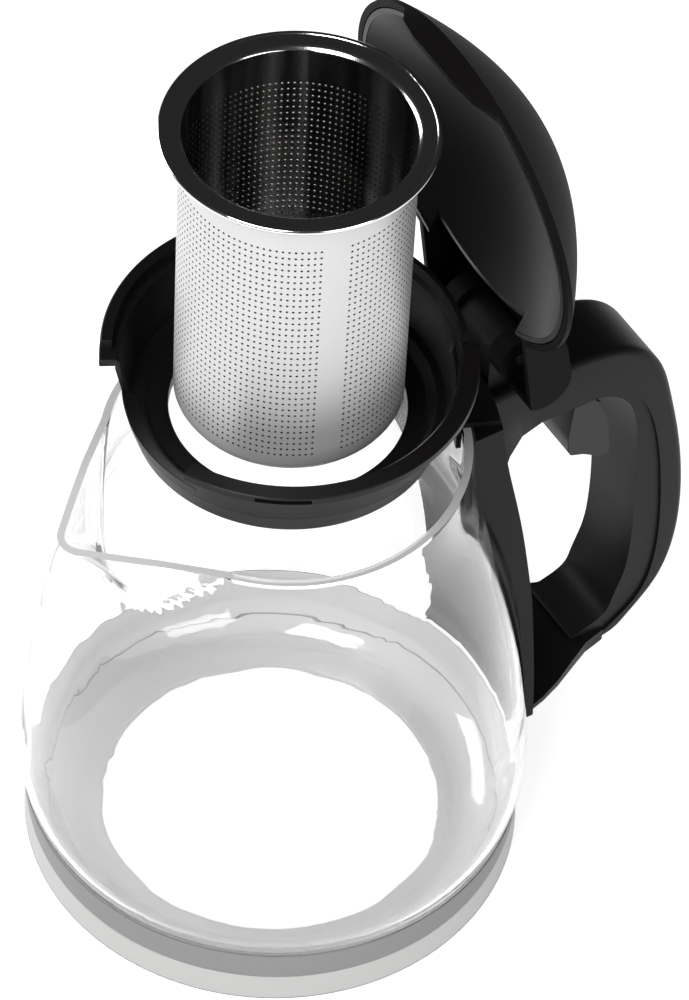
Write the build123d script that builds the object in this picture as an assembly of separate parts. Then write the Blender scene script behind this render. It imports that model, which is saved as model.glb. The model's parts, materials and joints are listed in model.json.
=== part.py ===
from build123d import *
import math
import os

# Glass tea maker: a jug on a ring base, a handle with a trigger, a hinged domed lid, and a lifted-out
# collar and strainer basket. Millimetres, +Z up, origin at the centre of the resting face.
# +X points at the handle and -X at the spout.

# ---------------------------------------------------------------- driving dimensions
BASE_R = 72.25          # outside radius of the base ring at the table
RING_TOP = 9.2          # height of the pale base ring
BAND_TOP = 20.6         # height of the grey band above it
RING_OPENING_R = 49.5   # the ring base is open in the middle

RIM_Z = 157.0           # height of the glass rim
NECK_R = 50.7           # the pulled lip starts from this radius, inside the neck wall
WALL = 2.2              # glass wall
SPOUT_TIP = 73.0        # how far the pouring lip reaches from the axis

FLANGE_R = 51.2         # collar flange, outside
COLLAR_IN_R = 46.6      # collar mouth
COLLAR_TOP = 192.0      # top of the collar flange as lifted
REAR_RISE = 4.0         # the rear wall stands this far above the flange

BASKET_R = 31.2         # strainer tube, outside
BASKET_RIM_R = 36.9     # rolled rim of the strainer
BASKET_TOP = 277.7      # top of the strainer rim as lifted
BASKET_BOTTOM = 180.0
SHEET = 0.6             # strainer sheet

HINGE_X = 66.0          # lid hinge axis
HINGE_Z = 170.0
LID_OPEN = 82.0         # degrees from shut to the stop
LID_R = 52.0
LID_RIM = 164.8         # height of the lid's edge when shut
DOME_RISE = 24.0        # crown of the lid above its edge
LID_WALL = 2.0
LINER_WALL = 1.5
TONGUE_R = 8.5          # the lid's rear end is rounded about the hinge axis
TONGUE_HALF = 27.0      # and this wide to each side

HANDLE_HALF = 12.0      # half the width of the grip
SHELL_STEP = 0.8        # the finger side is narrower by this much at each side
SADDLE_HALF = 25.0      # half the width of the plate against the glass
PIN_R = 1.75

TRIGGER_X = 96.0        # trigger pivot
TRIGGER_Z = 147.0
TRIGGER_HALF = 5.0      # half the width of the trigger inside the arm
LEVER_HALF = 8.0        # half the width of its finger piece


# ---------------------------------------------------------------- helpers
def revolved(points):
    """Turn a closed outline of (radius, height) corners about the Z axis."""
    outline = Polyline(*[(r, 0, z) for r, z in points], close=True)
    return revolve(make_face(outline), Axis.Z)


def side_prism(points, half, centre=0.0):
    """Extrude a closed XZ outline to both sides of y = centre."""
    outline = Polyline(*[(x, centre - half, z) for x, z in points], close=True)
    return extrude(make_face(outline), amount=2 * half, dir=(0, 1, 0))


def wedge(start, end, radius=90.0, low=-20.0, high=320.0):
    """A tall slice of pie about the Z axis, from one angle to another in degrees."""
    steps = max(2, int(abs(end - start) / 30) + 1)
    turn = [math.radians(start + (end - start) * i / steps) for i in range(steps + 1)]
    corners = [(0, 0, low)] + [(radius * math.cos(t), radius * math.sin(t), low) for t in turn]
    return extrude(make_face(Polyline(*corners, close=True)), amount=high - low, dir=(0, 0, 1))


def rod_y(x, z, radius, start, end):
    """A round bar along Y."""
    plane = Plane(origin=(x, start, z), x_dir=(1, 0, 0), z_dir=(0, 1, 0))
    return extrude(plane * Circle(radius), amount=end - start)


def block(x0, x1, y0, y1, z0, z1):
    """A box from its two corners."""
    return Pos((x0 + x1) / 2, (y0 + y1) / 2, (z0 + z1) / 2) * Box(x1 - x0, y1 - y0, z1 - z0)


def opened(shape):
    """Turn a piece of the shut lid to the open rest pose."""
    return shape.rotate(Axis((HINGE_X, 0, HINGE_Z), (0, 1, 0)), LID_OPEN)


def inset(points, amount):
    """Shift a curve sideways by a wall thickness, along its normals."""
    moved = []
    for i, (r, z) in enumerate(points):
        r0, z0 = points[max(i - 1, 0)]
        r1, z1 = points[min(i + 1, len(points) - 1)]
        length = math.hypot(r1 - r0, z1 - z0)
        moved.append((r - amount * (z1 - z0) / length, z + amount * (r1 - r0) / length))
    return moved


# ---------------------------------------------------------------- glass jug
# Borosilicate jug with a broad round belly, a short neck and a pulled pouring lip.
GLASS = [(54.0, 2.8), (61.0, 4.9), (66.0, 9.0), (69.4, 14.0), (71.8, 20.6), (73.2, 26.0), (73.6, 33.0),
         (72.6, 45.0), (71.1, 60.0), (68.1, 80.0), (63.6, 100.0), (57.0, 120.0), (52.6, 135.0),
         (51.4, 147.0), (51.2, RIM_Z)]


def jug_solid(points, top):
    """The round body out of a wall curve, closed to the axis."""
    wall = Spline(*[(r, 0, z) for r, z in points])
    rim, floor = points[-1], points[0][1]
    over = [(rim[0], 0, top)] if top > rim[1] else []
    rest = Polyline(wall @ 1, *over, (0, 0, top), (0, 0, floor), wall @ 0)
    return revolve(make_face([wall] + rest.edges()), Axis.Z)


# Levels of the pulled lip: height, radius of the body, reach from the axis, radius of the lip's end.
LIP = [(RIM_Z, NECK_R, SPOUT_TIP, 6.0), (151.0, NECK_R, 67.5, 8.0), (144.0, 50.9, 61.8, 12.0),
       (137.0, 51.5, 57.4, 18.0), (130.0, 52.9, 54.9, 26.0), (124.0, 54.5, 54.8, 32.0)]


def lip_loop(z, body_r, reach, tip_r, shrink):
    """A round end joined to the round body by the two lines that touch both."""
    away = reach - tip_r
    turn = math.acos((body_r - tip_r) / away)
    body, tip = body_r - shrink, tip_r - shrink
    left = [(0, body * math.sin(turn), z), (-body * math.cos(turn), body * math.sin(turn), z),
            (-away - tip * math.cos(turn), tip * math.sin(turn), z)]
    right = [(x, -y, z) for x, y, z in left]
    end = ThreePointArc(left[2], (-away - tip, 0, z), right[2])
    sides = Polyline(*left).edges() + Polyline(*reversed(right)).edges()
    return make_face([*sides, end, Line(right[0], left[0])])


def spout_solid(shrink, top):
    """The pulled lip, wide and round in the belly and drawn to a narrow tip at the rim."""
    levels = [(top,) + LIP[0][1:]] + LIP[1:]
    return loft([lip_loop(*level, shrink) for level in levels])


inner_wall = inset(GLASS, WALL)
inner_wall[0] = (54.0, 5.8)
outer = jug_solid(GLASS, RIM_Z) + spout_solid(0.0, RIM_Z)
inside = jug_solid(inner_wall, RIM_Z + 3.0) + spout_solid(WALL, RIM_Z + 0.01)
glass_jug = outer - inside
lip_cut = side_prism([(-90, 152.2), (-49.5, 157.2), (-49.5, 175), (-90, 175)], 60)
glass_jug = glass_jug - lip_cut


# ---------------------------------------------------------------- base
# A pale satin ring carries the jug and a warm grey band covers the joint to the glass.
base_ring = revolved([(RING_OPENING_R, 0.0), (71.85, 0.0), (BASE_R, 0.4), (71.4, RING_TOP),
                      (66.75, RING_TOP), (64.0, 7.0), (61.1, 4.7), (57.0, 3.0), (54.0, 2.5),
                      (RING_OPENING_R, 2.4)])
base_band = revolved([(66.95, RING_TOP + 0.2), (71.5, RING_TOP + 0.2), (72.1, 14.0), (72.45, 20.2),
                      (72.25, BAND_TOP), (72.0, BAND_TOP), (71.1, 18.0), (69.65, 14.0)])


# ---------------------------------------------------------------- saddle plate and rim hook
# The saddle is a curved plate against the glass, thicker towards the top, where the arm leaves it.
SADDLE_BACK = [(78.5, 21.2), (78.0, 32.0), (76.9, 48.0), (75.5, 64.0), (74.3, 76.0), (72.4, 89.0),
               (69.6, 106.0), (65.8, 125.0), (63.0, 138.0), (61.2, 148.0), (60.0, 156.9)]
saddle_face = [(r + 0.8, z) for r, z in GLASS if z > 25] + [(52.0, 156.9)]
saddle_face = [(73.1, 21.2)] + saddle_face[:-2] + [saddle_face[-1]]
front_curve = Spline(*[(r, 0, z) for r, z in saddle_face])
back_curve = Spline(*[(r, 0, z) for r, z in SADDLE_BACK])
section = make_face([front_curve, Line(front_curve @ 1, back_curve @ 1), back_curve,
                     Line(back_curve @ 0, front_curve @ 0)])
saddle_all = revolve(section, Axis.Z)
handle_saddle = saddle_all & block(30, 90, -SADDLE_HALF, SADDLE_HALF, 0, 170)

rim_hook = revolved([(47.3, 149.0), (48.75, 149.0), (48.75, RIM_Z + 0.25), (59.6, RIM_Z + 0.25),
                     (59.6, 158.6), (59.2, 159.0), (47.7, 159.0), (47.3, 158.6)])
rim_hook = rim_hook & wedge(-23.2, 23.2)


# ---------------------------------------------------------------- handle shells
# Two shells with a long joint line along the side of the grip. The arm is hollow for the trigger.
TOP_LINE = [(58.0, 153.4), (80.0, 153.6), (98.0, 152.4), (110.0, 147.0), (118.0, 137.0), (123.0, 122.0),
            (127.0, 105.0), (130.0, 87.0), (131.2, 70.0), (130.0, 53.0), (125.0, 39.0), (116.0, 28.3),
            (104.0, 22.8)]
UNDER_LINE = [(92.0, 134.0), (100.0, 132.6), (107.0, 127.0), (111.0, 117.0), (112.6, 104.0), (113.3, 88.0),
              (114.1, 72.0), (114.0, 58.0), (112.6, 48.0), (109.6, 39.0), (104.4, 32.0), (97.0, 28.3),
              (92.0, 27.4)]


# The joint line between the two shells, from the arm round the grip to the foot.
JOINT = [(58.0, 142.4), (69.0, 142.6), (83.0, 141.6), (100.0, 137.0), (111.0, 127.0), (118.0, 110.0),
         (122.0, 86.0), (123.4, 66.0), (122.4, 48.0), (117.4, 35.4), (109.0, 28.0), (98.0, 25.2)]


def curve(points, start, end):
    """A smooth side curve with given directions at its ends."""
    return Spline(*[(x, 0, z) for x, z in points], tangents=[start, end])


# Under the arm the finger side runs down into the saddle plate.
GUSSET = [(78.0, 134.0), (71.5, 131.6), (67.8, 125.0), (66.0, 117.0), (58.0, 117.0)]


def outline(top, under, gusset=()):
    """The closed side outline between two curves that both run from the arm to the foot."""
    t0, t1, u0, u1 = top @ 0, top @ 1, under @ 0, under @ 1
    foot = Polyline(t1, (60, 0, t1.Z), (60, 0, u1.Z), u1)
    corners = [(x, 0, z) for x, z in gusset] or [(t0.X, 0, u0.Z)]
    arm = Line(u0, t0) if abs(u0.X - t0.X) < 1e-6 else Polyline(u0, *corners, t0)
    return make_face([top] + foot.edges() + [under] + arm.edges())


ALONG, BACK = (1, 0, 0), (-1, 0, 0)
top_line = curve(TOP_LINE, ALONG, (-1, 0, -0.02))
joint = curve(JOINT, ALONG, (-1, 0, -0.02))
under_line = curve(UNDER_LINE, ALONG, BACK)
thin_top = curve(inset(TOP_LINE, -2.2), ALONG, (-1, 0, -0.02))
thin_under = curve(inset(UNDER_LINE, 2.2), ALONG, BACK)


FLARE = [(60, 27.5), (72, 25.0), (79, 23.2), (86, 20.5), (93, 17.0), (100, 13.6), (107, 12.0)]
SHOULDER = [(28.0, 20.0), (28.0, 24.0), (11.2, 27.6), (11.2, 44.0)]


def foot_piece(face):
    """The wide foot: the side outline within a flare that narrows to the grip and slopes at its sides."""
    edge = FLARE + [(x, -y) for x, y in reversed(FLARE)]
    plan = extrude(make_face(Polyline(*[(x, y, 10) for x, y in edge], close=True)), amount=34, dir=(0, 0, 1))
    slope = SHOULDER + [(-y, z) for y, z in reversed(SHOULDER)]
    front = extrude(make_face(Polyline(*[(60, y, z) for y, z in slope], close=True)), amount=56, dir=(1, 0, 0))
    return extrude(face, amount=40, dir=(0, 1, 0), both=True) & plan & front


def grip_piece(face, half):
    """The arm and grip, as wide as the hand side."""
    return extrude(face, amount=half, dir=(0, 1, 0), both=True)


back_part = grip_piece(outline(top_line, joint), HANDLE_HALF)
back_part = fillet([e for e in back_part.edges() if e.length > 186 and abs(e.center().Y) > 1], 2.3)
back_part = back_part + foot_piece(outline(top_line, joint))
finger_outline = outline(joint, under_line, GUSSET)
finger_part = grip_piece(finger_outline, HANDLE_HALF - SHELL_STEP) + foot_piece(finger_outline)
hollow = grip_piece(outline(thin_top, thin_under), HANDLE_HALF - 2.2) - block(50, 99, -30, 30, 20, 60)
saddle_space = revolve(make_face([
    back_curve, Line(back_curve @ 1, (0, 0, 156.9)), Line((0, 0, 156.9), (0, 0, 21.2)),
    Line((0, 0, 21.2), back_curve @ 0)]), Axis.Z)
handle_outer_shell = back_part - hollow - saddle_space
handle_inner_shell = finger_part - hollow - saddle_space

# Openings for the trigger under the arm and for the catch's stem through the arm's top.
handle_inner_shell = handle_inner_shell - block(86.5, 111.5, -5.8, 5.8, 126, 139)
handle_outer_shell = handle_outer_shell - block(73.8, 80.5, -4.2, 4.2, 145, 160)


# An end wall closes the arm against the saddle and takes the upper screw. The foot is solid.
handle_outer_shell = handle_outer_shell + (block(59.0, 66.6, -10.0, 10.0, 142.6, 151.3) - saddle_space)


def bar(x, y, z, radius, length, along):
    """A round bar that starts at a point and runs along a direction."""
    side = (0, 1, 0) if along[1] == 0 else (1, 0, 0)
    return extrude(Plane(origin=(x, y, z), x_dir=side, z_dir=along) * Circle(radius), amount=length)


def screw(x, y, z, shank, head, length, along):
    """A pan-head screw whose tip is at the point and whose head lies at the far end."""
    tip = [x, y, z]
    seat = [c + length * d for c, d in zip(tip, along)]
    return bar(*tip, shank, length, along) + bar(*seat, head, 1.4, along)


SADDLE_SCREWS = [(54.6, 0, 147.0), (74.6, 0, 25.2)]
handle_screws = [screw(*p, 1.2, 1.7, 12.0, (1, 0, 0)) for p in SADDLE_SCREWS]
for p in SADDLE_SCREWS:
    hole = screw(p[0] - 0.3, p[1], p[2], 1.23, 1.75, 12.3, (1, 0, 0))
    handle_saddle = handle_saddle - hole
    handle_outer_shell = handle_outer_shell - hole
    handle_inner_shell = handle_inner_shell - hole


# ---------------------------------------------------------------- hinge bracket, pin and springs
# The bracket stands on the arm and is screwed up from inside it. The pin carries the lid and its spring.
tower = side_prism([(60.4, 150.0), (71.6, 150.0), (71.6, HINGE_Z), (60.4, HINGE_Z)], 8.0)
tower = tower + rod_y(HINGE_X, HINGE_Z, 5.6, -8.0, 8.0)
spring_room = rod_y(HINGE_X, HINGE_Z, 4.2, -4.6, 4.6) + block(68.3, 70.4, -4.8, 4.8, 161.6, HINGE_Z)
hinge_bracket = tower - back_part - spring_room
hinge_bracket = hinge_bracket - rod_y(HINGE_X, HINGE_Z, PIN_R + 0.03, -20, 20)
BRACKET_SCREWS = [(68.7, -4.6, 159.3), (68.7, 4.6, 159.3)]
bracket_screws = [screw(*p, 1.0, 1.8, 8.6, (0, 0, -1)) for p in BRACKET_SCREWS]
for p in BRACKET_SCREWS:
    hole = bar(p[0], p[1], p[2] + 0.3, 1.03, 9.4, (0, 0, -1))
    hinge_bracket = hinge_bracket - hole
    handle_outer_shell = handle_outer_shell - hole

hinge_pin = rod_y(HINGE_X, HINGE_Z, PIN_R, -15.2, 15.2)


def torsion_spring(x, z, radius, wire, start, end, turns, leg):
    """A coil about a Y axis whose first end runs on as a straight leg."""
    winding = Helix(pitch=(end - start) / turns, height=end - start, radius=radius)
    path = Wire([Line(winding @ 0 - (winding % 0) * leg, winding @ 0), winding])
    coil = sweep(Plane(origin=path @ 0, z_dir=path % 0) * Circle(wire), path=path, is_frenet=True)
    return Pos(x, end, z) * coil.rotate(Axis.X, 90)


lid_spring = torsion_spring(HINGE_X, HINGE_Z, 3.3, 0.5, -3.9, 3.9, 6, 7.8)


# ---------------------------------------------------------------- lid
# A hollow domed cap with a liner. It is modelled shut and then turned open about the hinge.
def dome(radius, edge, rise):
    """A solid dome that stands on its edge plane, with a parabolic section."""
    top = edge + rise
    crown = Bezier((0, 0, top), (radius / 2, 0, top), (radius, 0, edge))
    foot = Polyline((radius, 0, edge), (0, 0, edge), (0, 0, top))
    return revolve(make_face([crown] + foot.edges()), Axis.Z)


def tube(inner_r, outer_r, low, high):
    """A plain ring."""
    return revolved([(inner_r, low), (outer_r, low), (outer_r, high), (inner_r, high)])


def hinge_arc(radius, start, end):
    """Points of an arc about the hinge axis."""
    turn = [math.radians(start + (end - start) * i / 12) for i in range(13)]
    return [(HINGE_X + radius * math.cos(t), HINGE_Z + radius * math.sin(t)) for t in turn]


def pouring_lip(inner_r, outer_r, depth):
    """The part of the lid's edge that droops to close the pouring scoop."""
    droop = [(-22.5, 0.3), (-22.0, 0.0), (-17.0, -0.62), (-9.0, -0.94), (0.0, -1.0), (9.0, -0.94),
             (17.0, -0.62), (22.0, 0.0), (22.5, 0.3)]
    corners = [(-60, y, LID_RIM + depth * f if f < 0 else LID_RIM + f) for y, f in droop]
    curtain = extrude(make_face(Polyline(*corners, close=True)), amount=30, dir=(1, 0, 0))
    return tube(inner_r, outer_r, LID_RIM - depth - 1, LID_RIM + 0.3) & curtain


cap = dome(LID_R, 166.3, LID_RIM + DOME_RISE - 166.3) + tube(0, LID_R, LID_RIM, 166.3)
cap_hollow = dome(LID_R - 2.0, 165.7, LID_RIM + DOME_RISE - LID_WALL - 165.7) + tube(0, 50.0, 160, 165.7)
tongue = side_prism([(30, LID_RIM), (30, 172.5), (38, 175.0), (46, 176.6), (56, 178.0)]
                    + hinge_arc(TONGUE_R, 100, -37), TONGUE_HALF)
tongue_hollow = side_prism([(30, 155), (30, 171.0), (38, 173.2), (46, 174.8), (56, 176.2)]
                           + hinge_arc(6.7, 100, -40) + [(71.0, 155)], TONGUE_HALF - 1.8)
lid_shell = cap + tongue - cap_hollow - tongue_hollow
for side in (-1, 1):
    knuckle = rod_y(HINGE_X, HINGE_Z, 7.3, side * 12 - 3, side * 12 + 3)
    heel = block(73.4, 74.9, side * 11 - 1.5, side * 11 + 1.5, 168.6, 171.0)
    lid_shell = lid_shell + knuckle + heel
lid_shell = lid_shell - rod_y(HINGE_X, HINGE_Z, PIN_R + 0.05, -15.3, 15.3)
lid_shell = lid_shell - side_prism([(59.7, 150), (59.7, 170), (61.5, 174.4), (64.2, 176.0), (66.4, 176.3),
                                    (86.6, 173.5), (86.6, 150)], 8.6)
lid_shell = lid_shell + pouring_lip(50.0, LID_R, 5.6)

liner = dome(49.6, 165.3, LID_RIM + DOME_RISE - LID_WALL - 0.35 - 165.3) + tube(0, 49.6, LID_RIM, 165.3)
liner_hollow = dome(48.1, 165.1, LID_RIM + DOME_RISE - LID_WALL - 0.35 - LINER_WALL - 165.1)
liner_hollow = liner_hollow + tube(0, 48.1, 160, 165.1)
lid_liner = liner - liner_hollow + pouring_lip(48.1, 49.6, 3.6)
lid_liner = lid_liner - block(38.0, 60, -22, 22, 160, 168.5)

lid_shell = opened(lid_shell)
lid_liner = opened(lid_liner)


# ---------------------------------------------------------------- trigger and catch
# The trigger hangs on a pin inside the arm. Its neck draws back the sliding catch that holds the lid's heel.
NECK = [(92.6, 147.0), (91.9, 138.0), (91.0, 126.0), (100.0, 126.0), (100.2, 138.0), (99.4, 147.0)]
LEVER = [(91.0, 129.5), (90.0, 118.0), (90.4, 111.5), (91.6, 109.2), (96.0, 107.4), (100.5, 104.3),
         (103.6, 103.0), (105.4, 104.4), (105.0, 110.0), (103.2, 120.0), (100.4, 127.0), (98.0, 129.5)]
trigger = side_prism(NECK, TRIGGER_HALF) + side_prism(LEVER, LEVER_HALF)
trigger = trigger + rod_y(TRIGGER_X, TRIGGER_Z, 3.0, -TRIGGER_HALF, TRIGGER_HALF)
trigger = trigger - rod_y(TRIGGER_X, TRIGGER_Z, PIN_R + 0.05, -30, 30)
trigger_pin = rod_y(TRIGGER_X, TRIGGER_Z, PIN_R, -10.8, 10.8)
handle_outer_shell = handle_outer_shell - rod_y(TRIGGER_X, TRIGGER_Z, PIN_R + 0.03, -10.9, 10.9)
trigger_spring = torsion_spring(TRIGGER_X, TRIGGER_Z, 2.6, 0.4, 5.7, 8.9, 4, 5.6)

lid_catch = block(74.6, 103.2, -7.4, 7.4, 136.4, 139.0) - block(88.0, 100.8, -5.4, 5.4, 130, 145)
lid_catch = lid_catch + block(75.4, 78.0, -3.5, 3.5, 136.4, 165.0)
lid_catch = lid_catch + block(75.4, 78.0, -12.6, 12.6, 163.6, 167.4)


# ---------------------------------------------------------------- collar
# The collar rests on the glass rim by its flange. It is drawn lifted, as it comes out of the jug.
def lifted(points):
    """Outline corners given as (radius, height below the flange top)."""
    return [(r, COLLAR_TOP + h) for r, h in points]


collar_ring = revolved(lifted([(COLLAR_IN_R, 0), (FLANGE_R - 0.3, 0), (FLANGE_R, -0.3), (FLANGE_R, -2.2),
                               (50.8, -2.6), (46.9, -2.6), (46.8, -4.0), (44.3, -15.5), (42.6, -15.5),
                               (45.3, -4.4), (45.7, -1.2)]))
flange_gap = revolved(lifted([(46.85, -3.2), (60, -3.2), (60, 2), (46.85, 2)])) & wedge(-24, 24)
collar_ring = collar_ring - flange_gap
rear_wall = revolved(lifted([(47.8, -0.2), (51.0, -0.2), (51.0, REAR_RISE - 0.4), (50.6, REAR_RISE),
                             (48.2, REAR_RISE), (47.8, REAR_RISE - 0.4)])) & wedge(24, 148)
hinge_wall = revolved(lifted([(45.6, -1.4), (46.84, -1.4), (46.84, -0.6), (48.3, -0.4), (48.3, 3.4),
                              (46.8, 3.4), (46.6, 0.2)])) & wedge(-22, 24.2)
scoop = revolved(lifted([(30, -20), (40.4, -15.6), (45.0, -12.0), (60, -11.0), (60, 12), (30, 12)]))
collar_ring = collar_ring + rear_wall + hinge_wall - (scoop & wedge(152, 206))
ledge = revolved(lifted([(40.5, -15.5), (44.3, -15.5), (44.95, -12.4), (44.6, -12.2)])) & wedge(151.6, 206.4)
collar_ring = collar_ring + ledge
# Clip windows: one through the wall below the flange, two as slots in the flange's outer edge.
wall_window = block(43.0, 49.0, -7.0, 7.0, COLLAR_TOP - 6.2, COLLAR_TOP - 3.0)
edge_window = block(49.4, 53.0, -7.5, 7.5, COLLAR_TOP - 2.1, COLLAR_TOP - 0.7)
for window, angle in ((wall_window, -29), (edge_window, -123), (edge_window, 57)):
    collar_ring = collar_ring - window.rotate(Axis.Z, angle)

collar_funnel = revolved(lifted([(42.5, -15.6), (44.25, -15.6), (42.1, -22.6), (40.6, -22.6), (40.2, -20.2),
                                 (34.0, -20.2), (33.6, -22.6), (32.4, -22.6), (32.4, -18.2), (37.8, -18.2),
                                 (40.3, -15.9)]))


# ---------------------------------------------------------------- strainer basket
# A seamed tube of perforated sheet with a turned floor and a rolled rim, welded together.
basket_tube = tube(BASKET_R - SHEET, BASKET_R, BASKET_BOTTOM + 3.4, BASKET_TOP - 1.6)
basket_floor = revolved([(0, BASKET_BOTTOM), (28.4, BASKET_BOTTOM), (30.2, BASKET_BOTTOM + 0.8),
                      (BASKET_R, BASKET_BOTTOM + 2.6), (BASKET_R, BASKET_BOTTOM + 3.4),
                      (BASKET_R - SHEET, BASKET_BOTTOM + 3.4), (BASKET_R - SHEET, BASKET_BOTTOM + 2.9),
                      (29.8, BASKET_BOTTOM + 1.3), (28.2, BASKET_BOTTOM + SHEET), (0, BASKET_BOTTOM + SHEET)])
bead = Pos(0, 0, BASKET_TOP - 0.85) * Torus(BASKET_RIM_R - 0.85, 0.85)
basket_rim = bead + revolved([(BASKET_R - SHEET, BASKET_TOP - 1.6), (31.9, BASKET_TOP - 1.6),
                              (32.6, BASKET_TOP - 1.0), (36.2, BASKET_TOP - 0.9), (36.2, BASKET_TOP - 0.3),
                              (32.3, BASKET_TOP - 0.4), (31.2, BASKET_TOP - 0.8)])


# ---------------------------------------------------------------- output
PIECES = {
    "glass_jug": glass_jug, "base_ring": base_ring, "base_band": base_band,
    "handle_saddle": handle_saddle, "rim_hook": rim_hook,
    "handle_outer_shell": handle_outer_shell, "handle_inner_shell": handle_inner_shell,
    "handle_screws": Compound(children=handle_screws), "bracket_screws": Compound(children=bracket_screws),
    "hinge_bracket": hinge_bracket, "hinge_pin": hinge_pin, "lid_spring": lid_spring,
    "lid_shell": lid_shell, "lid_liner": lid_liner,
    "trigger": trigger, "trigger_pin": trigger_pin, "trigger_spring": trigger_spring, "lid_catch": lid_catch,
    "collar_ring": collar_ring, "collar_funnel": collar_funnel,
    "basket_tube": basket_tube, "basket_rim": basket_rim, "basket_floor": basket_floor,
}
os.makedirs("parts", exist_ok=True)
for name, shape in PIECES.items():
    export_step(shape, "parts/" + name + ".step")
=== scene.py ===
import json
import math

import bmesh
import bpy
from mathutils import Matrix, Vector


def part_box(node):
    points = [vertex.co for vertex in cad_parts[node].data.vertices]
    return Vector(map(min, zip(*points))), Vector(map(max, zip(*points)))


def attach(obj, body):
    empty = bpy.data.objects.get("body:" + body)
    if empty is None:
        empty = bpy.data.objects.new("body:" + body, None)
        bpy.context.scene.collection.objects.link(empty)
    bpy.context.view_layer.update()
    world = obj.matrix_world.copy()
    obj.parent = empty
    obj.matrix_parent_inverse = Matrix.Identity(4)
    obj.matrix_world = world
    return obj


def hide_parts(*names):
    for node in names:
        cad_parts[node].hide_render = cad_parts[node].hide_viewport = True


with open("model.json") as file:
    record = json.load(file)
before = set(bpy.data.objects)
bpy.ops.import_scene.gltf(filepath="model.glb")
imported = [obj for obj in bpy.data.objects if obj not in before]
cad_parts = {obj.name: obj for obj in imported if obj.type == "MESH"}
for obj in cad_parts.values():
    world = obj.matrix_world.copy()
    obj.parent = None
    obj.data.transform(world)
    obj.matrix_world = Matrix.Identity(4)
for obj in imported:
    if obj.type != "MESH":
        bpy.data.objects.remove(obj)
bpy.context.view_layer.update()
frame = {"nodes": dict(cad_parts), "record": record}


# ---------------------------------------------------------------- glass jug
# Blown borosilicate jug with a flat floor, a belly, a short neck and a pulled pouring lip.
# It is one piece of clear glass, fire-polished at the rim, and stands in the ring base.
MM = 0.001
WELD_GAP = 0.002 * MM       # loose triangles closer than this are joined
SLIVER = 0.001 * MM         # edges shorter than this are dissolved


def finished_copy(node, name, crease_deg, bevel_mm=0.0, segments=2):
    """A copy of a solid with its loose triangles joined, its soft edges rounded and its faces smoothed."""
    mesh = frame["nodes"][node].data.copy()
    mesh.materials.clear()
    bm = bmesh.new()
    bm.from_mesh(mesh)
    bmesh.ops.remove_doubles(bm, verts=bm.verts, dist=WELD_GAP)
    bmesh.ops.dissolve_degenerate(bm, edges=bm.edges, dist=SLIVER)
    limit = math.radians(crease_deg)
    for face in bm.faces:
        face.smooth = True
    for edge in bm.edges:
        edge.smooth = len(edge.link_faces) != 2 or edge.calc_face_angle() < limit
    bm.to_mesh(mesh)
    bm.free()
    piece = bpy.data.objects.new(name, mesh)
    bpy.context.scene.collection.objects.link(piece)
    if bevel_mm > 0:
        rounding = piece.modifiers.new("rounded_edges", "BEVEL")
        rounding.width = bevel_mm * MM
        rounding.segments = segments
        rounding.limit_method = "ANGLE"
        rounding.angle_limit = limit
        rounding.miter_outer = "MITER_ARC"
        rounding.harden_normals = True
    bodies = frame["record"]["behaviour"]["bodies"]
    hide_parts(node)
    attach(piece, next(body for body, members in bodies.items() if node in members))
    return piece


def plain_material(name, color, roughness, metallic=0.0, specular=0.5):
    """A new material and its shader, with uniform values."""
    material = bpy.data.materials.new(name)
    material.use_nodes = True
    shader = material.node_tree.nodes["Principled BSDF"]
    shader.inputs["Base Color"].default_value = (*color, 1.0)
    shader.inputs["Roughness"].default_value = roughness
    shader.inputs["Metallic"].default_value = metallic
    shader.inputs["Specular IOR Level"].default_value = specular
    return material, shader


GLASS_IOR = 1.47
RIM_ABOVE = 150.0 * MM      # the rim's top faces, which carry a painted pale highlight, lie above this height
FACES_UP = 0.9              # and look up at least this much

clear_glass, glass_shader = plain_material("clear_glass", (0.998, 1.0, 0.999), 0.0)
glass_shader.inputs["Transmission Weight"].default_value = 1.0
glass_shader.inputs["IOR"].default_value = GLASS_IOR

jug = finished_copy("glass_jug", "glass_jug_blown", 35, 0.9, 4)
jug.data.materials.append(clear_glass)
# The rim's top faces get a half-clear pale grey: a painted highlight where the glass edge catches the
# light.
painted_rim_light, rim_shader = plain_material("painted_pale_rim", (0.80, 0.81, 0.81), 0.2)
rim_shader.inputs["Transmission Weight"].default_value = 0.35
rim_shader.inputs["IOR"].default_value = GLASS_IOR
jug.data.materials.append(painted_rim_light)
for face in jug.data.polygons:
    if face.normal.z > FACES_UP and face.center.z > RIM_ABOVE:
        face.material_index = 1


# ---------------------------------------------------------------- base
# A pale satin ring carries the jug. A warm grey rubber band covers the joint to the glass.
# The ring is sprayed metal with a soft top edge, and the band is pushed down over it.
RING_GLASS_R = 66.5 * MM    # the ring is painted pale inside this radius, as painted light where the glass keeps the lamps out
BAND_GLASS_R = 66.0 * MM    # and the band takes the same painted light inside this one
EDGE_HEIGHT = 0.39 * MM     # a painted contact shadow, a thin dark line, runs along the foot of the ring, outside EDGE_R
EDGE_R = 70.0 * MM

satin_silver, _ = plain_material("satin_silver", (0.54, 0.54, 0.535), 0.45, 0.3)
# Near white for the faces under the glass: painted light, standing in for lamp light the glass keeps from
# them.
painted_light_inside, _ = plain_material("painted_light_inside", (0.93, 0.93, 0.92), 0.6)
warm_grey, _ = plain_material("warm_grey_rubber", (0.30, 0.295, 0.295), 0.55, 0.0, 0.3)
painted_contact_shadow, _ = plain_material("contact_shadow_paint", (0.03, 0.03, 0.03), 0.6, 0.0, 0.2)


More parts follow.
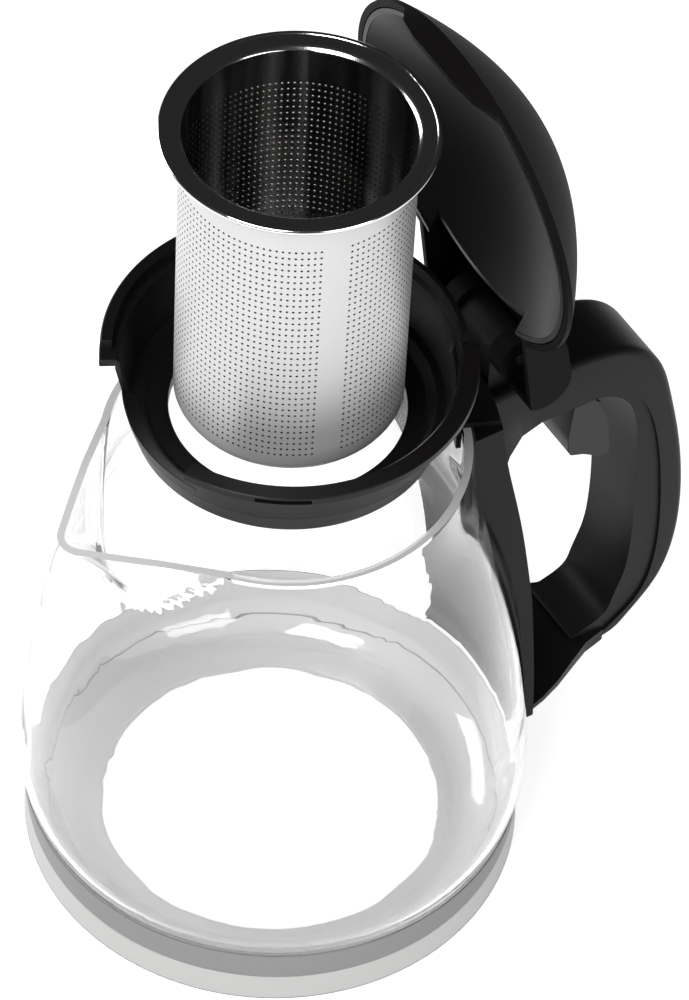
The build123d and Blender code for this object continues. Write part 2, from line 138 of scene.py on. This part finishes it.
def paint_light_under_glass(piece, inner_radius):
    """Paint the faces that lie under the glass pale: painted light that stands in for the light the glass
    holds back.
    """
    piece.data.materials.append(painted_light_inside)
    for face in piece.data.polygons:
        radial = Vector((face.center.x, face.center.y, 0)).normalized()
        hidden = face.center.xy.length < inner_radius or face.normal.dot(radial) < -0.1
        face.material_index = 1 if hidden and face.normal.z > -0.5 else 0


ring = finished_copy("base_ring", "base_ring_sprayed", 25, 0.5)
ring.data.materials.append(satin_silver)
paint_light_under_glass(ring, RING_GLASS_R)
# The lowest faces of the ring are painted near black: a painted contact shadow where the ring meets the
# table.
ring.data.materials.append(painted_contact_shadow)
for face in ring.data.polygons:
    if face.center.z < EDGE_HEIGHT and face.center.xy.length > EDGE_R:
        face.material_index = 2
band = finished_copy("base_band", "base_band_rubber", 25, 0.3)
band.data.materials.append(warm_grey)
paint_light_under_glass(band, BAND_GLASS_R)


# ---------------------------------------------------------------- handle
# Two moulded shells meet along a line on the side of the grip and are screwed to the saddle plate.
# Plate, hook, shells and hinge bracket are black, lightly glossy plastic with rounded edges.
def fine_grain(material, scale, height):
    """A slight moulded texture that moves the highlights a little."""
    nodes, links = material.node_tree.nodes, material.node_tree.links
    where = nodes.new("ShaderNodeTexCoord")
    noise = nodes.new("ShaderNodeTexNoise")
    noise.inputs["Scale"].default_value = scale
    noise.inputs["Detail"].default_value = 3.0
    bump = nodes.new("ShaderNodeBump")
    bump.inputs["Strength"].default_value = 0.25
    bump.inputs["Distance"].default_value = height
    links.new(where.outputs["Object"], noise.inputs["Vector"])
    links.new(noise.outputs["Fac"], bump.inputs["Height"])
    links.new(bump.outputs["Normal"], nodes["Principled BSDF"].inputs["Normal"])


grip_black, _ = plain_material("grip_black", (0.0075, 0.0062, 0.0068), 0.44, 0.0, 0.13)
fine_grain(grip_black, 900.0, 0.06 * MM)
dull_black, _ = plain_material("dull_black", (0.007, 0.0064, 0.0068), 0.55, 0.0, 0.13)

# node: (piece, slot, material, rounding of the edges in mm)
HANDLE = {
    "handle_saddle": ("saddle_plate", "saddle_black", dull_black, 1.0),
    "rim_hook": ("rim_hook_moulded", "hook_black", dull_black, 0.5),
    "handle_outer_shell": ("handle_back_shell", "handle_outer", grip_black, 1.2),
    "handle_inner_shell": ("handle_finger_shell", "handle_inner", grip_black, 1.2),
    "hinge_bracket": ("hinge_bracket_moulded", "bracket_black", dull_black, 0.5),
}
for node, (name, slot_name, material, rounding) in HANDLE.items():
    piece = finished_copy(node, name, 30, rounding, 3)
    piece.data.materials.append(material)


# ---------------------------------------------------------------- screws, pins and springs
# Small steel parts inside the arm and at the hinge: two saddle screws, two bracket screws,
# the hinge and trigger pins, and their torsion springs of round wire.
plain_steel, _ = plain_material("plain_steel", (0.55, 0.55, 0.55), 0.3, 1.0)
STEEL = {
    "handle_screws": "screw_steel",
    "bracket_screws": "bracket_screw_steel",
    "hinge_pin": "pin_steel",
    "trigger_pin": "trigger_pin_steel",
    "lid_spring": "lid_spring_steel",
    "trigger_spring": "trigger_spring_steel",
}
for node, slot_name in STEEL.items():
    piece = finished_copy(node, node + "_turned", 35)
    piece.data.materials.append(plain_steel)


# ---------------------------------------------------------------- lid
# A domed shell with a satin outside and a glossy glued liner, both moulded in black plastic.
# The edge droops at the front to close the scoop, and the rear tongue turns on the hinge pin.
gloss_black, _ = plain_material("gloss_black", (0.006, 0.0051, 0.0056), 0.36, 0.0, 0.18)
dome_black, _ = plain_material("dome_black", (0.0055, 0.0046, 0.0052), 0.58, 0.0, 0.05)

lid = finished_copy("lid_shell", "lid_dome", 28, 0.6, 3)
lid.data.materials.append(dome_black)
liner = finished_copy("lid_liner", "lid_liner_moulded", 28, 0.4, 3)
liner.data.materials.append(gloss_black)


# ---------------------------------------------------------------- trigger and catch
# The trigger hangs under the arm and is pulled by the forefinger. The catch slides inside the arm.
# Both are moulded in black plastic, and the trigger has softly rounded sides.
trigger_black, _ = plain_material("trigger_black", (0.009, 0.0085, 0.009), 0.35, 0.0, 0.25)
lever = finished_copy("trigger", "trigger_lever", 28, 1.4, 4)
lever.data.materials.append(trigger_black)
catch = finished_copy("lid_catch", "lid_catch_slide", 30, 0.4, 2)
catch.data.materials.append(dull_black)


# ---------------------------------------------------------------- collar
# A glossy black moulding that hangs in the neck by its flange: a funnel wall with a pouring scoop,
# a raised rear wall and clip windows. Below it a stepped sleeve carries the strainer.
collar = finished_copy("collar_ring", "collar_flanged_ring", 28, 0.35, 2)
collar.data.materials.append(gloss_black)
funnel = finished_copy("collar_funnel", "collar_sleeve", 28, 0.35, 2)
funnel.data.materials.append(gloss_black)


# ---------------------------------------------------------------- strainer basket
# A tube rolled from perforated stainless sheet and butt-welded down one plain strip, with a pressed
# floor and a rolled rim spot-welded on. The holes are punched in straight rows and columns.
strainer_steel, _ = plain_material("strainer_steel", (0.66, 0.658, 0.655), 0.5, 0.6)
inner_steel, _ = plain_material("strainer_inside", (0.42, 0.41, 0.40), 0.16, 1.0)
# The walls of the holes are painted dark steel: painted shade that makes the holes read dark.
hole_shade_steel, _ = plain_material("painted_hole_shade", (0.08, 0.078, 0.076), 0.5, 1.0)
# Inside, the base colour runs in long vertical bright and dark streaks: painted reflections of the studio
# on the steel.
nodes, links = inner_steel.node_tree.nodes, inner_steel.node_tree.links
place = nodes.new("ShaderNodeTexCoord")
stretch = nodes.new("ShaderNodeMapping")
stretch.inputs["Scale"].default_value = (70.0, 70.0, 3.0)
reflection_noise = nodes.new("ShaderNodeTexNoise")
reflection_noise.inputs["Scale"].default_value = 1.0
reflection_noise.inputs["Detail"].default_value = 2.0
reflection_streaks = nodes.new("ShaderNodeValToRGB")
reflection_streaks.color_ramp.elements[0].position, reflection_streaks.color_ramp.elements[1].position = 0.45, 0.62
reflection_streaks.color_ramp.elements[0].color = (0.10, 0.098, 0.096, 1)
reflection_streaks.color_ramp.elements[1].color = (0.95, 0.94, 0.93, 1)
links.new(place.outputs["Object"], stretch.inputs["Vector"])
links.new(stretch.outputs["Vector"], reflection_noise.inputs["Vector"])
links.new(reflection_noise.outputs["Fac"], reflection_streaks.inputs["Fac"])
links.new(reflection_streaks.outputs["Color"], nodes["Principled BSDF"].inputs["Base Color"])
polished_steel, _ = plain_material("polished_steel", (0.80, 0.79, 0.78), 0.14, 1.0)

tube_low, tube_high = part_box("basket_tube")
TUBE_R = tube_high[0]
SHEET = 0.5 * MM            # thickness
ROWS, COLUMNS = 36, 118     # of holes, counting the plain strip's columns
WELD_COLUMNS = 4            # the strip takes the room of these
WELD_AZIMUTH = math.radians(-102.5)
COLUMN_STEP = 2 * math.pi * TUBE_R / COLUMNS
ROW_STEP = 2.2 * MM
HOLE_R = 0.38 * MM
HOLE_CORNERS = [math.radians(60 * i) for i in range(6)]
BAND_BELOW = 2.6 * MM       # plain sheet under the lowest row


def punched_cell(bm, y, z):
    """One sheet cell with its hole: six corners round a six-sided hole, shared with its neighbours."""
    half, rise = COLUMN_STEP / 2, ROW_STEP / 2
    corners = [(half, 0), (half, rise), (-half, rise), (-half, 0), (-half, -rise), (half, -rise)]
    outer = [bm.verts.new((0, y + a, z + b)) for a, b in corners]
    hole = [bm.verts.new((0, y + HOLE_R * math.cos(a), z + HOLE_R * math.sin(a))) for a in HOLE_CORNERS]
    for i in range(6):
        j = (i + 1) % 6
        bm.faces.new((outer[i], outer[j], hole[j], hole[i]))


def plain_patch(bm, y, z0, z1):
    """A stretch of plain sheet one column wide."""
    half = COLUMN_STEP / 2
    corners = [(-half, z0), (half, z0), (half, z1), (-half, z1)]
    bm.faces.new([bm.verts.new((0, y + a, z)) for a, z in corners])


def on_tube(angle, z):
    """The point of the tube's outside at an angle and a height."""
    return (TUBE_R * math.cos(angle), TUBE_R * math.sin(angle), z)


sheet = bmesh.new()
punched_from = tube_low[2] + BAND_BELOW
punched_to = punched_from + ROWS * ROW_STEP
for y in (-0.5 * COLUMN_STEP, 0.5 * COLUMN_STEP):
    for row in range(ROWS):
        punched_cell(sheet, y, punched_from + (row + 0.5) * ROW_STEP)
    plain_patch(sheet, y, tube_low[2], punched_from)
    plain_patch(sheet, y, punched_to, tube_high[2])
for vert in sheet.verts:
    vert.co = on_tube(vert.co.y / TUBE_R, vert.co.z)

# The pair of columns is turned round the tube, up to the strip.
pairs = (COLUMNS - WELD_COLUMNS) // 2
pair_angle = 2 * 2 * math.pi / COLUMNS
bmesh.ops.spin(sheet, geom=sheet.verts[:] + sheet.edges[:] + sheet.faces[:], cent=(0, 0, 0),
               axis=(0, 0, 1), angle=pair_angle * (pairs - 1), steps=pairs - 1, use_duplicate=True)

# The plain strip closes the tube, with a vertex wherever a row of cells has one.
levels = [tube_low[2], punched_from]
levels += [punched_from + i * ROW_STEP / 2 for i in range(1, 2 * ROWS + 1)] + [tube_high[2]]
edge_angle = -pair_angle / 2
strip = []
for i in range(WELD_COLUMNS + 1):
    angle = edge_angle - i * pair_angle / 2
    strip.append([sheet.verts.new(on_tube(angle, z)) for z in levels])
for right, left in zip(strip, strip[1:]):
    for i in range(len(levels) - 1):
        sheet.faces.new((left[i], right[i], right[i + 1], left[i + 1]))
weld_middle = edge_angle - WELD_COLUMNS * pair_angle / 4
to_its_place = Matrix.Rotation(WELD_AZIMUTH - weld_middle, 3, "Z")
bmesh.ops.rotate(sheet, verts=sheet.verts, cent=(0, 0, 0), matrix=to_its_place)
bmesh.ops.remove_doubles(sheet, verts=sheet.verts, dist=0.01 * MM)
bmesh.ops.recalc_face_normals(sheet, faces=sheet.faces)
outward = 0.0
for face in sheet.faces:
    middle = face.calc_center_median()
    outward += face.normal.x * middle.x + face.normal.y * middle.y
if outward < 0:
    bmesh.ops.reverse_faces(sheet, faces=sheet.faces)
for face in sheet.faces:
    face.smooth = True
for edge in sheet.edges:
    edge.smooth = len(edge.link_faces) == 2
sheet_mesh = bpy.data.meshes.new("strainer_sheet")
sheet.to_mesh(sheet_mesh)
sheet.free()
strainer = bpy.data.objects.new("strainer_sheet", sheet_mesh)
bpy.context.scene.collection.objects.link(strainer)
thickness = strainer.modifiers.new("sheet_thickness", "SOLIDIFY")
thickness.thickness = SHEET
thickness.offset = -1.0
thickness.material_offset = 1
# The sheet's cut edges, the hole walls among them, take the painted hole shade.
thickness.material_offset_rim = 2
strainer.data.materials.append(strainer_steel)
strainer.data.materials.append(inner_steel)
strainer.data.materials.append(hole_shade_steel)
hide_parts("basket_tube")
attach(strainer, "basket")

basket_floor = finished_copy("basket_floor", "strainer_floor", 40)
basket_floor.data.materials.append(strainer_steel)
rim = finished_copy("basket_rim", "strainer_rolled_rim", 40)
rim.data.materials.append(polished_steel)


# ---------------------------------------------------------------- floor, lights and camera
# A white table under soft boxes. The table shines white to the camera and still takes a soft shadow.
TABLE_GAP = 0.2 * MM        # keeps the table clear of the base's underside
TABLE_GLOW = 0.72
table_mesh = bpy.data.meshes.new("table")
table_bm = bmesh.new()
bmesh.ops.create_grid(table_bm, x_segments=1, y_segments=1, size=6.0)
bmesh.ops.translate(table_bm, verts=table_bm.verts, vec=(0, 0, -TABLE_GAP))
table_bm.to_mesh(table_mesh)
table_bm.free()
table = bpy.data.objects.new("table", table_mesh)
bpy.context.scene.collection.objects.link(table)
table_white = bpy.data.materials.new("table_white")
table_white.use_nodes = True
nodes, links = table_white.node_tree.nodes, table_white.node_tree.links
nodes.clear()
out = nodes.new("ShaderNodeOutputMaterial")
light_path = nodes.new("ShaderNodeLightPath")
seen = nodes.new("ShaderNodeMath")
seen.operation = "ADD"
seen.use_clamp = True
seen_too = nodes.new("ShaderNodeMath")
seen_too.operation = "ADD"
seen_too.use_clamp = True
links.new(light_path.outputs["Is Camera Ray"], seen.inputs[0])
links.new(light_path.outputs["Is Transmission Ray"], seen.inputs[1])
links.new(seen.outputs[0], seen_too.inputs[0])
links.new(light_path.outputs["Is Glossy Ray"], seen_too.inputs[1])
glow = nodes.new("ShaderNodeEmission")
glow.inputs["Color"].default_value = (1, 1, 1, 1)
glow_level = nodes.new("ShaderNodeMath")
glow_level.operation = "MULTIPLY"
glow_level.inputs[1].default_value = TABLE_GLOW
links.new(seen_too.outputs[0], glow_level.inputs[0])
links.new(glow_level.outputs[0], glow.inputs["Strength"])
paper = nodes.new("ShaderNodeBsdfDiffuse")
paper.inputs["Color"].default_value = (0.6, 0.6, 0.6, 1)
both = nodes.new("ShaderNodeAddShader")
links.new(paper.outputs[0], both.inputs[0])
links.new(glow.outputs[0], both.inputs[1])
links.new(both.outputs[0], out.inputs["Surface"])
table.data.materials.append(table_white)

# The studio is dim to the object's own faces, darker in its gloss, and bright through the glass.
DIM, IN_GLOSS, IN_GLASS = 0.30, 0.022, 1.2
world = bpy.data.worlds.new("studio")
bpy.context.scene.world = world
world.use_nodes = True
world.node_tree.nodes["Background"].inputs["Color"].default_value = (1, 1, 1, 1)
nodes, links = world.node_tree.nodes, world.node_tree.links
ray = nodes.new("ShaderNodeLightPath")
ceiling = nodes.new("ShaderNodeMapRange")
ceiling.inputs["To Min"].default_value = DIM
ceiling.inputs["To Max"].default_value = IN_GLOSS
links.new(ray.outputs["Is Glossy Ray"], ceiling.inputs["Value"])
through_glass = nodes.new("ShaderNodeMapRange")
through_glass.inputs["To Max"].default_value = IN_GLASS
links.new(ray.outputs["Is Transmission Ray"], through_glass.inputs["Value"])
links.new(ceiling.outputs["Result"], through_glass.inputs["To Min"])
links.new(through_glass.outputs["Result"], nodes["Background"].inputs["Strength"])


def soft_box(name, place, aim, width, height, watts):
    """An area lamp that faces a point."""
    lamp = bpy.data.lights.new(name, "AREA")
    lamp.shape = "RECTANGLE"
    lamp.size, lamp.size_y = width, height
    lamp.energy = watts
    light = bpy.data.objects.new(name, lamp)
    light.location = place
    light.rotation_euler = (Vector(aim) - Vector(place)).to_track_quat("-Z", "Y").to_euler()
    bpy.context.scene.collection.objects.link(light)


MIDDLE = (0.0, 0.0, 0.12)
soft_box("key_box", (-0.9, -0.5, 1.3), MIDDLE, 0.7, 0.7, 18)
soft_box("fill_box", (0.1, -1.4, 0.8), MIDDLE, 0.8, 0.6, 8)
soft_box("back_box", (-0.7, 1.3, 0.6), MIDDLE, 0.9, 0.6, 12)

# The camera looks down at the object from the lip's side, slightly rolled.
EYE = Vector((-0.5468, -0.8420, 1.2726))
PITCH, TURN, ROLL = 0.84773, math.radians(-33) - 0.01674, 0.05748
LENS_MM, SENSOR_MM = 198.0, 36.0
turn = Matrix.Rotation(TURN, 3, "Z")
right = turn @ Vector((1, 0, 0))
above = turn @ Vector((0, math.sin(PITCH), math.cos(PITCH)))
ahead = turn @ Vector((0, math.cos(PITCH), -math.sin(PITCH)))
image_x = math.cos(ROLL) * right + math.sin(ROLL) * above
image_y = -math.sin(ROLL) * right + math.cos(ROLL) * above
camera_data = bpy.data.cameras.new("camera")
camera_data.lens = LENS_MM
camera_data.sensor_width = SENSOR_MM
camera_data.clip_start = 0.05
camera = bpy.data.objects.new("camera", camera_data)
camera.matrix_world = Matrix((
    (image_x.x, image_y.x, -ahead.x, EYE.x), (image_x.y, image_y.y, -ahead.y, EYE.y),
    (image_x.z, image_y.z, -ahead.z, EYE.z), (0, 0, 0, 1)))
bpy.context.scene.collection.objects.link(camera)
bpy.context.scene.camera = camera
bpy.context.scene.view_settings.view_transform = "Standard"
